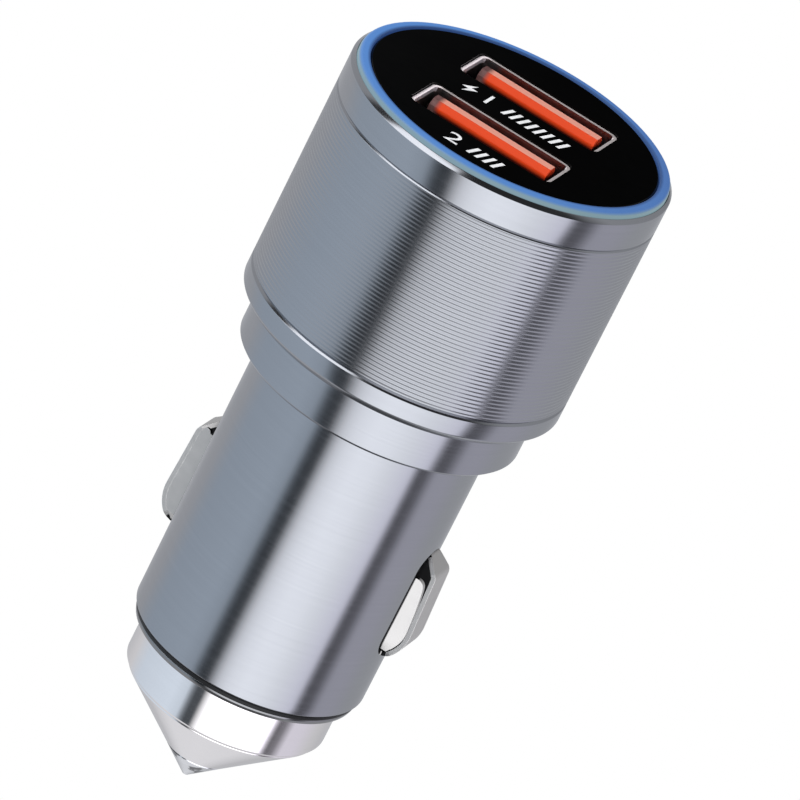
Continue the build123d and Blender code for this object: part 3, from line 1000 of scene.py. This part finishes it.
# Lit ring: its lamps, the turn of its painted highlight, and where its colours change
ring_lamps = 6.0
lamp_glow = 0.12
highlight_turn = radians(-147)
glow_range = (-1.0, 0.4)
ring_lit = ((0.06, 0.14, 0.37, 1), (0.075, 0.205, 0.52, 1))
ring_deep = (0.02, 0.05, 0.16, 1)
ring_pale = (0.19, 0.28, 0.3, 1)
ring_cloud = ((0.015, 0.03, 0.06, 1), (0.025, 0.045, 0.08, 1))
inner_edge_r = (ring_hole_r + 0.04, ring_hole_r + 0.3)
outer_wall_r = (ring_r - 0.5, ring_r - 0.4)
ring_top_z = (top_z - 0.22, top_z - 0.03)


def ring_finish():
    """Translucent ring lit from below: blue on top, deeper at its inner edge, brighter over each lamp,
    with a painted highlight that brightens it towards one turn and deepens it away from there, and pale
    on its outer side."""
    shader = {"roughness": 0.3, "emission_strength": 1.0, "specular_ior_level": 0.15}
    finish, tree, principled = new_finish("ring_blue", **shader)
    place = place_of(tree)
    turn = math(tree, "ARCTAN2", place[1], place[0])
    lamps = math(tree, "COSINE", math(tree, "MULTIPLY", turn, ring_lamps))
    # Painted highlight: the glow is brighter towards one turn of the ring and deeper away from it
    highlight_side = math(tree, "COSINE", math(tree, "SUBTRACT", turn, highlight_turn))
    glow = math(tree, "ADD", math(tree, "MULTIPLY", lamps, lamp_glow), highlight_side)
    lit = blend(tree, between(tree, glow, *glow_range), *ring_lit)
    radius = axis_distance(tree, place)
    edged = blend(tree, span(tree, radius, *inner_edge_r), ring_deep, lit)
    walls = blend(tree, span(tree, radius, *outer_wall_r), ring_deep, ring_pale)
    glowing = blend(tree, above(tree, *ring_top_z), walls, edged)
    tree.links.new(glowing, principled.inputs["Emission Color"])
    cloud = use_group(tree, surface_mottle, Scale=1200.0, Coarse=0.2)
    tree.links.new(blend(tree, cloud, *ring_cloud), principled.inputs["Base Color"])
    return finish


contact_steel = contact_finish()
nose_chrome = nose_finish()
tip_steel = tip_finish()
tongue_orange = tongue_finish()
port_steel = port_finish()
ring_blue = ring_finish()

# Pieces made here
body_shell(shell_metal)
light_ring(ring_blue)
washer(washer_black)
nose(nose_chrome)
tip(tip_steel)
panel_print(print_white)
for side in ("left", "right"):
    ground_contact(side, contact_steel)
    leaf_spring(side, spring_steel)

# Finishes of the pieces that keep their frame shape
frame_finishes = {
    "face_panel": face_black,
    "led_board": board_green,
    "ring_leds": lamp_white,
    "port_board": board_green,
    "main_board": board_green,
    "input_capacitor": can_metal,
    "output_capacitor": can_metal,
    "inductor": choke_grey,
    "converter_chip": chip_black,
    "rectifier_diode": chip_black,
    "positive_strip": spring_steel,
    "inner_core": core_black,
}
for place in ("rear", "front"):
    frame_finishes[f"usb_shell_{place}"] = port_steel
    frame_finishes[f"usb_tongue_{place}"] = tongue_orange
    frame_finishes[f"usb_terminals_{place}"] = terminal_gold
for name, finish in frame_finishes.items():
    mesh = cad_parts[name].data
    mesh.materials.clear()
    mesh.materials.append(finish)

# Camera at the photograph's angle, turned about its own axis so that the plug leans
view_azimuth = radians(13.0)
view_elevation = radians(24.44)
view_roll = radians(26.83)
view_distance = 0.70
lens = 391.0
target_z = -0.15
target_right = 1.936

right = Vector((cos(view_azimuth), sin(view_azimuth), 0))
toward = Vector((sin(view_azimuth), -cos(view_azimuth), 0))
back = toward * cos(view_elevation) + Vector((0, 0, sin(view_elevation)))
up = back.cross(right)


def camera():
    """Long lens on the plug, rolled so that its top leans to the right."""
    made = bpy.data.objects.new("camera", bpy.data.cameras.new("camera"))
    scene.collection.objects.link(made)
    made.data.lens = lens
    made.data.sensor_width = 36.0
    made.data.clip_start = 0.05
    target = Vector((0, 0, target_z * MM)) + right * target_right * MM
    side = right * cos(view_roll) + up * sin(view_roll)
    top = up * cos(view_roll) - right * sin(view_roll)
    place = target + back * view_distance
    made.matrix_world = Matrix.Translation(place) @ Matrix((side, top, back)).transposed().to_4x4()
    scene.camera = made


def ramp(tree, share, stops):
    """A colour that changes with a share of the way round, through (degrees, level, tint) stops."""
    made = add(tree, "ValToRGB", {0: share})
    marks = made.color_ramp.elements
    while len(marks) < len(stops):
        marks.new(1.0)
    for mark, (degrees, level, tint) in zip(marks, stops):
        mark.position = degrees / 360 + 0.5
        mark.color = grey(level, tint)
    return made.outputs[0]


cool = (0.9, 1.03, 1.2)
plain = (0.98, 1.0, 1.06)
lilac = (1.0, 0.99, 1.14)
side_stops = (
    (-180, 0.48, plain),
    (-150, 0.52, plain),
    (-130, 0.58, plain),
    (-105, 0.6, cool),
    (-52, 0.68, cool),
    (-38, 0.6, cool),
    (-32, 0.19, cool),
    (-28, 0.07, cool),
    (-20.5, 0.07, cool),
    (-16.5, 0.6, plain),
    (-10.5, 1.27, plain),
    (-2, 1.6, plain),
    (12, 1.78, plain),
    (28, 1.7, plain),
    (42, 1.5, plain),
    (63.5, 1.22, lilac),
    (66.5, 0.54, lilac),
    (71, 0.13, lilac),
    (79, 0.2, lilac),
    (90, 0.62, lilac),
    (105, 0.61, lilac),
    (130, 0.54, plain),
    (150, 0.48, plain),
    (180, 0.48, plain),
)
upper_stops = (
    (-180, 0.015, plain),
    (-160, 0.5, plain),
    (-114, 0.5, plain),
    (-106, 0.05, plain),
    (-92, 0.05, plain),
    (-85, 2.0, plain),
    (-28, 2.0, plain),
    (-22, 0.03, plain),
    (80, 0.05, plain),
    (105, 0.5, plain),
    (150, 0.4, plain),
    (165, 0.03, plain),
    (180, 0.015, plain),
)
lower_stops = (
    (-180, 0.7, plain),
    (-100, 0.62, plain),
    (-60, 0.66, plain),
    (-38, 0.19, plain),
    (62, 0.19, plain),
    (100, 0.6, plain),
    (180, 0.7, plain),
)

# Height where the upper cards take over, lifted in front of the plug and lowered behind it
card_lift = 0.3
card_low = 0.13
card_high = 0.345

# Heights and directions between which the soft box in front fades, and how much of its light goes
fade_low = -0.1
fade_high = 0.3
fade_aside = 0.5
fade_ahead = 0.95
fade_most = 0.5
fade_grey = grey(0.03)

# Heights where the dark ceiling and the cards from below take over
ceiling_heights = (sin(radians(60)), sin(radians(72)))
ceiling_grey = grey(0.04)
lower_heights = (sin(radians(-46)), sin(radians(-58)))

# Floor and lamp, in metres and watts
floor_half = 6.0
floor_z = -0.3
lamp_size = 0.5
lamp_energy = 5.5
lamp_back = 0.35
lamp_up = 0.4
lamp_left = 0.45


def studio():
    """White room with soft boxes and dark cards round the plug, set by the direction of the light."""
    world = bpy.data.worlds.new("studio")
    world.use_nodes = True
    scene.world = world
    tree = world.node_tree
    tree.nodes.clear()
    way = add(tree, "TexCoord").outputs["Generated"]
    ahead = add(tree, "VectorMath", {0: way, 1: toward}, operation="DOT_PRODUCT").outputs["Value"]
    aside = add(tree, "VectorMath", {0: way, 1: right}, operation="DOT_PRODUCT").outputs["Value"]
    share = math(tree, "MULTIPLY_ADD", math(tree, "ARCTAN2", aside, ahead), 1 / (2 * pi), 0.5)
    height = add(tree, "SeparateXYZ", {0: way}).outputs[2]
    fade_up = between(tree, height, fade_low, fade_high)
    fade_front = between(tree, ahead, fade_aside, fade_ahead)
    fade = math(tree, "MULTIPLY", math(tree, "MULTIPLY", fade_up, fade_front), fade_most)
    sides = blend(tree, fade, ramp(tree, share, side_stops), fade_grey)
    lifted = math(tree, "MULTIPLY_ADD", ahead, -card_lift, height)
    high = between(tree, lifted, card_low, card_high)
    over = between(tree, height, *ceiling_heights)
    low = between(tree, height, *lower_heights)
    upper = blend(tree, over, ramp(tree, share, upper_stops), ceiling_grey)
    room = blend(tree, low, blend(tree, high, sides, upper), ramp(tree, share, lower_stops))
    seen = add(tree, "LightPath").outputs["Is Camera Ray"]
    light = add(tree, "Background", {0: blend(tree, seen, room, grey(1.0)), 1: 1.0}).outputs[0]
    tree.links.new(light, add(tree, "OutputWorld").inputs[0])


def floor():
    """Pale floor well below the plug, plain white and open from underneath."""
    mesh = bpy.data.meshes.new("floor")
    signs = ((-1, -1), (1, -1), (1, 1), (-1, 1))
    corners = [(x * floor_half, y * floor_half, floor_z) for x, y in signs]
    mesh.from_pydata(corners, [], [range(len(corners))])
    finish = bpy.data.materials.new("floor_white")
    finish.use_nodes = True
    tree = finish.node_tree
    tree.nodes.clear()
    lit = add(tree, "Emission", {0: grey(1.0), 1: 1.0}).outputs[0]
    clear = add(tree, "BsdfTransparent").outputs[0]
    behind = add(tree, "NewGeometry").outputs["Backfacing"]
    shown = add(tree, "MixShader", {0: behind, 1: lit, 2: clear}).outputs[0]
    tree.links.new(shown, add(tree, "OutputMaterial").inputs[0])
    mesh.materials.append(finish)
    made = bpy.data.objects.new("floor", mesh)
    scene.collection.objects.link(made)
    made.visible_glossy = False
    made.visible_diffuse = False
    made.visible_shadow = False


def soft_lamp():
    """Broad lamp above the face for the parts that are not metal."""
    data = bpy.data.lights.new("soft_lamp", "AREA")
    data.shape = "DISK"
    data.size = lamp_size
    data.energy = lamp_energy
    made = bpy.data.objects.new("soft_lamp", data)
    scene.collection.objects.link(made)
    place = back * lamp_back + Vector((0, 0, lamp_up)) - right * lamp_left
    made.matrix_world = Matrix.Translation(place) @ place.to_track_quat("Z", "Y").to_matrix().to_4x4()
    made.visible_glossy = False


camera()
studio()
floor()
soft_lamp()
scene.view_settings.view_transform = "Standard"
